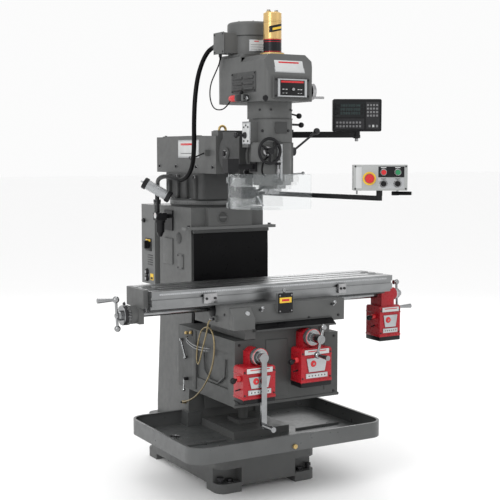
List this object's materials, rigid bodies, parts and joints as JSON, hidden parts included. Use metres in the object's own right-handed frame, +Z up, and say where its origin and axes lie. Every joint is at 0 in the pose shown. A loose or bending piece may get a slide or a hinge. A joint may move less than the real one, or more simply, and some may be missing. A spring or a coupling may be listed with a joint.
{
  "type": "vertical milling machine",
  "caption": "Knee-type vertical milling machine with a turret ram, tilting head, T-slot table, power feeds, display and pendant.",
  "frame": {"origin": "centre of the base's four anchor holes, on the floor", "axes": "+X operator's right, along the table; -Y towards the operator; +Z up"},
  "size_m": [1.6778, 1.363, 2.19],
  "materials": {
    "black_plastic": "moulded black plastic",
    "black_rubber": "matt black rubber",
    "brass_braid": "wound brass-coloured armour",
    "bright_steel": "ground and turned steel",
    "chrome_handle": "polished chrome",
    "clear_shield": "clear polycarbonate",
    "dark_steel": "black oxide and black enamel",
    "gold_cylinder": "gold anodised cylinder",
    "green_knob": "gloss green plastic",
    "grey_casting": "machine-grey enamel over cast iron, satin",
    "pale_box": "pale grey enamel",
    "pan_steel": "machine-grey enamel on sheet steel",
    "red_casting": "gloss red enamel",
    "red_knob": "gloss red plastic",
    "sheet_grey": "grey enamel on sheet steel",
    "silver_shell": "ribbed bare aluminium"
  },
  "bodies": {
    "frame": {"base": "grey_casting", "levelling_screws": "dark_steel", "chip_pan": "pan_steel", "column": "grey_casting", "way_cover_bar": "sheet_grey", "rear_way_cover": "black_rubber", "cabinet": "sheet_grey", "air_unit": "dark_steel"},
    "door": {"cabinet_door": "sheet_grey"},
    "disconnect": {"disconnect_knob": "black_plastic"},
    "lamp_head": {"lamp": "silver_shell"},
    "turret_body": {"turret": "grey_casting"},
    "pendant_swing_arm": {"pendant_arm": "dark_steel"},
    "pendant": {"pendant_box": "pale_box"},
    "estop": {"emergency_stop": "red_knob"},
    "stop": {"stop_button": "red_knob"},
    "start": {"start_button": "green_knob"},
    "selector_a": {"coolant_selector": "black_plastic"},
    "selector_b": {"speed_selector": "black_plastic"},
    "ram_body": {"ram": "grey_casting", "eye_bolt": "brass_braid", "motor_conduit": "black_rubber"},
    "dro_swing_arm": {"dro_arm": "dark_steel"},
    "display": {"dro_display": "black_plastic"},
    "adapter": {"ram_adapter": "grey_casting"},
    "head": {"quill_housing": "grey_casting", "gear_housing": "grey_casting", "belt_housing": "grey_casting", "motor": "grey_casting", "drawbar_unit": "gold_cylinder", "guard_rod": "dark_steel", "valve_cord": "black_rubber"},
    "motor_shaft": {"motor_pulley": "bright_steel"},
    "drive_sleeve": {"spindle_pulley": "bright_steel"},
    "quill_body": {"quill": "bright_steel"},
    "spindle_body": {"spindle": "bright_steel"},
    "quill_handle": {"quill_lever": "dark_steel"},
    "feed_wheel": {"feed_handwheel": "black_plastic"},
    "feed_select": {"feed_selector": "chrome_handle"},
    "range_handle": {"range_lever": "dark_steel"},
    "brake_handle": {"brake_lever": "chrome_handle"},
    "quill_clamp": {"quill_lock": "chrome_handle"},
    "speed_wheel": {"speed_handwheel": "dark_steel"},
    "guard": {"guard_shield": "clear_shield"},
    "knee_body": {"knee": "grey_casting", "elevating_screw": "bright_steel", "knee_power_feed": "red_casting", "saddle_power_feed": "red_casting"},
    "knee_handle": {"knee_crank": "chrome_handle"},
    "saddle_handle": {"saddle_crank": "chrome_handle"},
    "knee_clamp": {"knee_lock": "chrome_handle"},
    "saddle_body": {"saddle": "grey_casting", "front_way_cover": "black_rubber", "lube_line": "brass_braid"},
    "table_clamp_left": {"left_table_lock": "chrome_handle"},
    "table_clamp_right": {"right_table_lock": "chrome_handle"},
    "table_body": {"table": "bright_steel", "table_bracket": "dark_steel", "table_power_feed": "red_casting"},
    "table_screw": {"table_cranks": "chrome_handle"}
  },
  "joints": [
    {"name": "door_hinge", "type": "hinge", "parent": "frame", "child": "door", "pos_m": [0.209, 0.567, 1.08], "axis": [0, 0, -1], "range_deg": [0, 105]},
    {"name": "disconnect_turn", "type": "hinge", "parent": "frame", "child": "disconnect", "pos_m": [-0.2, 0.49, 1.079], "axis": [1, 0, 0], "range_deg": [-90, 0]},
    {"name": "lamp_tilt", "type": "hinge", "parent": "frame", "child": "lamp_head", "pos_m": [-0.288, 0.195, 1.372], "axis": [0.498, 0.8672, 0.0013], "range_deg": [-35, 35]},
    {"name": "turret_swivel", "type": "hinge", "parent": "frame", "child": "turret_body", "pos_m": [0, 0.195, 1.29], "axis": [0, 0, 1], "range_deg": [-30, 30], "deforming": ["motor_conduit"]},
    {"name": "pendant_arm_swing", "type": "hinge", "parent": "turret_body", "child": "pendant_swing_arm", "pos_m": [0.262, 0.15, 1.35], "axis": [0, 0, 1], "range_deg": [-5, 60]},
    {"name": "pendant_turn", "type": "hinge", "parent": "pendant_swing_arm", "child": "pendant", "pos_m": [0.4, -0.69, 1.37], "axis": [0, 0, 1], "range_deg": [-20, 60]},
    {"name": "estop_press", "type": "slide", "parent": "pendant", "child": "estop", "axis": [0.5, 0.866, 0], "range_m": [0, 0.006], "stiffness_N_per_m": 400},
    {"name": "stop_press", "type": "slide", "parent": "pendant", "child": "stop", "axis": [0.5, 0.866, 0], "range_m": [0, 0.004], "stiffness_N_per_m": 400},
    {"name": "start_press", "type": "slide", "parent": "pendant", "child": "start", "axis": [0.5, 0.866, 0], "range_m": [0, 0.004], "stiffness_N_per_m": 400},
    {"name": "coolant_select", "type": "hinge", "parent": "pendant", "child": "selector_a", "pos_m": [0.39176, -0.73028, 1.4164], "axis": [0.5, 0.866, 0], "range_deg": [-45, 45]},
    {"name": "speed_select", "type": "hinge", "parent": "pendant", "child": "selector_b", "pos_m": [0.44632, -0.76177, 1.4164], "axis": [0.5, 0.866, 0], "range_deg": [-45, 45]},
    {"name": "ram_slide", "type": "slide", "parent": "turret_body", "child": "ram_body", "axis": [0, -1, 0], "range_m": [-0.17, 0.18], "deforming": ["motor_conduit"]},
    {"name": "dro_arm_swing", "type": "hinge", "parent": "ram_body", "child": "dro_swing_arm", "pos_m": [0.185, 0.114, 1.643], "axis": [0, 0, -1], "range_deg": [-60, 15]},
    {"name": "dro_turn", "type": "hinge", "parent": "dro_swing_arm", "child": "display", "pos_m": [0.6, -0.232, 1.66], "axis": [0, 0, 1], "range_deg": [-30, 30]},
    {"name": "head_nod", "type": "hinge", "parent": "ram_body", "child": "adapter", "pos_m": [0, -0.228, 1.55], "axis": [1, 0, 0], "range_deg": [-20, 45], "deforming": ["motor_conduit"]},
    {"name": "head_tilt", "type": "hinge", "parent": "adapter", "child": "head", "pos_m": [0, -0.345, 1.54], "axis": [0, -1, 0], "range_deg": [-45, 45], "deforming": ["motor_conduit"]},
    {"name": "motor_spin", "type": "hinge", "parent": "head", "child": "motor_shaft", "pos_m": [0, -0.225, 1.82], "axis": [0, 0, 1], "continuous": true},
    {"name": "drive_spin", "type": "hinge", "parent": "head", "child": "drive_sleeve", "pos_m": [0, -0.418, 1.82], "axis": [0, 0, 1], "continuous": true},
    {"name": "quill_feed", "type": "slide", "parent": "head", "child": "quill_body", "axis": [0, 0, -1], "range_m": [0, 0.127]},
    {"name": "spindle_spin", "type": "hinge", "parent": "quill_body", "child": "spindle_body", "pos_m": [0, -0.418, 1.4], "axis": [0, 0, 1], "continuous": true},
    {"name": "quill_lever_turn", "type": "hinge", "parent": "head", "child": "quill_handle", "pos_m": [0.1, -0.432, 1.56], "axis": [1, 0, 0], "range_deg": [0, 182]},
    {"name": "feed_wheel_turn", "type": "hinge", "parent": "head", "child": "feed_wheel", "pos_m": [-0.08, -0.53, 1.562], "axis": [0, -1, 0], "continuous": true},
    {"name": "feed_selector_turn", "type": "hinge", "parent": "head", "child": "feed_select", "pos_m": [-0.124, -0.395, 1.632], "axis": [1, 0, 0], "range_deg": [-30, 30]},
    {"name": "range_lever_turn", "type": "hinge", "parent": "head", "child": "range_handle", "pos_m": [0.09, -0.404, 1.732], "axis": [1, 0, 0], "range_deg": [-40, 40]},
    {"name": "brake_lever_turn", "type": "hinge", "parent": "head", "child": "brake_handle", "pos_m": [0.09, -0.404, 1.683], "axis": [1, 0, 0], "range_deg": [-40, 40]},
    {"name": "quill_lock_turn", "type": "hinge", "parent": "head", "child": "quill_clamp", "pos_m": [0.09, -0.44, 1.457], "axis": [1, 0, 0], "range_deg": [-60, 60]},
    {"name": "speed_wheel_turn", "type": "hinge", "parent": "head", "child": "speed_wheel", "pos_m": [0.122, -0.53, 1.826], "axis": [1, 0, 0], "continuous": true},
    {"name": "guard_swing", "type": "hinge", "parent": "head", "child": "guard", "pos_m": [-0.218, -0.421, 1.4], "axis": [0, 0, -1], "range_deg": [0, 90]},
    {"name": "knee_lift", "type": "slide", "parent": "frame", "child": "knee_body", "axis": [0, 0, -1], "range_m": [-0.306, 0.1], "deforming": ["rear_way_cover", "lube_line"]},
    {"name": "knee_crank_turn", "type": "hinge", "parent": "knee_body", "child": "knee_handle", "pos_m": [-0.194, -0.6, 0.673], "axis": [0, 1, 0], "range_deg": [-75, 90]},
    {"name": "saddle_crank_turn", "type": "hinge", "parent": "knee_body", "child": "saddle_handle", "pos_m": [0.08, -0.6, 0.735], "axis": [0, 1, 0], "continuous": true},
    {"name": "knee_lock_turn", "type": "hinge", "parent": "knee_body", "child": "knee_clamp", "pos_m": [-0.272, -0.048, 0.668], "axis": [1, 0, 0], "range_deg": [-30, 30]},
    {"name": "saddle_slide", "type": "slide", "parent": "knee_body", "child": "saddle_body", "axis": [0, 1, 0], "range_m": [-0.11, 0.19], "deforming": ["front_way_cover", "lube_line"]},
    {"name": "table_lock_left_turn", "type": "hinge", "parent": "saddle_body", "child": "table_clamp_left", "pos_m": [-0.148, -0.56, 0.866], "axis": [0, 1, 0], "range_deg": [-40, 40]},
    {"name": "table_lock_right_turn", "type": "hinge", "parent": "saddle_body", "child": "table_clamp_right", "pos_m": [0.232, -0.56, 0.866], "axis": [0, 1, 0], "range_deg": [-40, 40]},
    {"name": "table_slide", "type": "slide", "parent": "saddle_body", "child": "table_body", "axis": [1, 0, 0], "range_m": [-0.305, 0.325]},
    {"name": "table_screw_turn", "type": "hinge", "parent": "table_body", "child": "table_screw", "pos_m": [0, -0.36, 0.858], "axis": [1, 0, 0], "continuous": true}
  ],
  "couplings": [
    {"joint": "quill_lever_turn", "follows": "quill_feed", "rad_per_m": 24.737},
    {"joint": "drive_spin", "follows": "motor_spin", "ratio": 0.7143},
    {"joint": "spindle_spin", "follows": "motor_spin", "ratio": 0.7143},
    {"joint": "saddle_crank_turn", "follows": "saddle_slide", "rad_per_m": 1236.8},
    {"joint": "table_screw_turn", "follows": "table_slide", "rad_per_m": 1236.8}
  ]
}
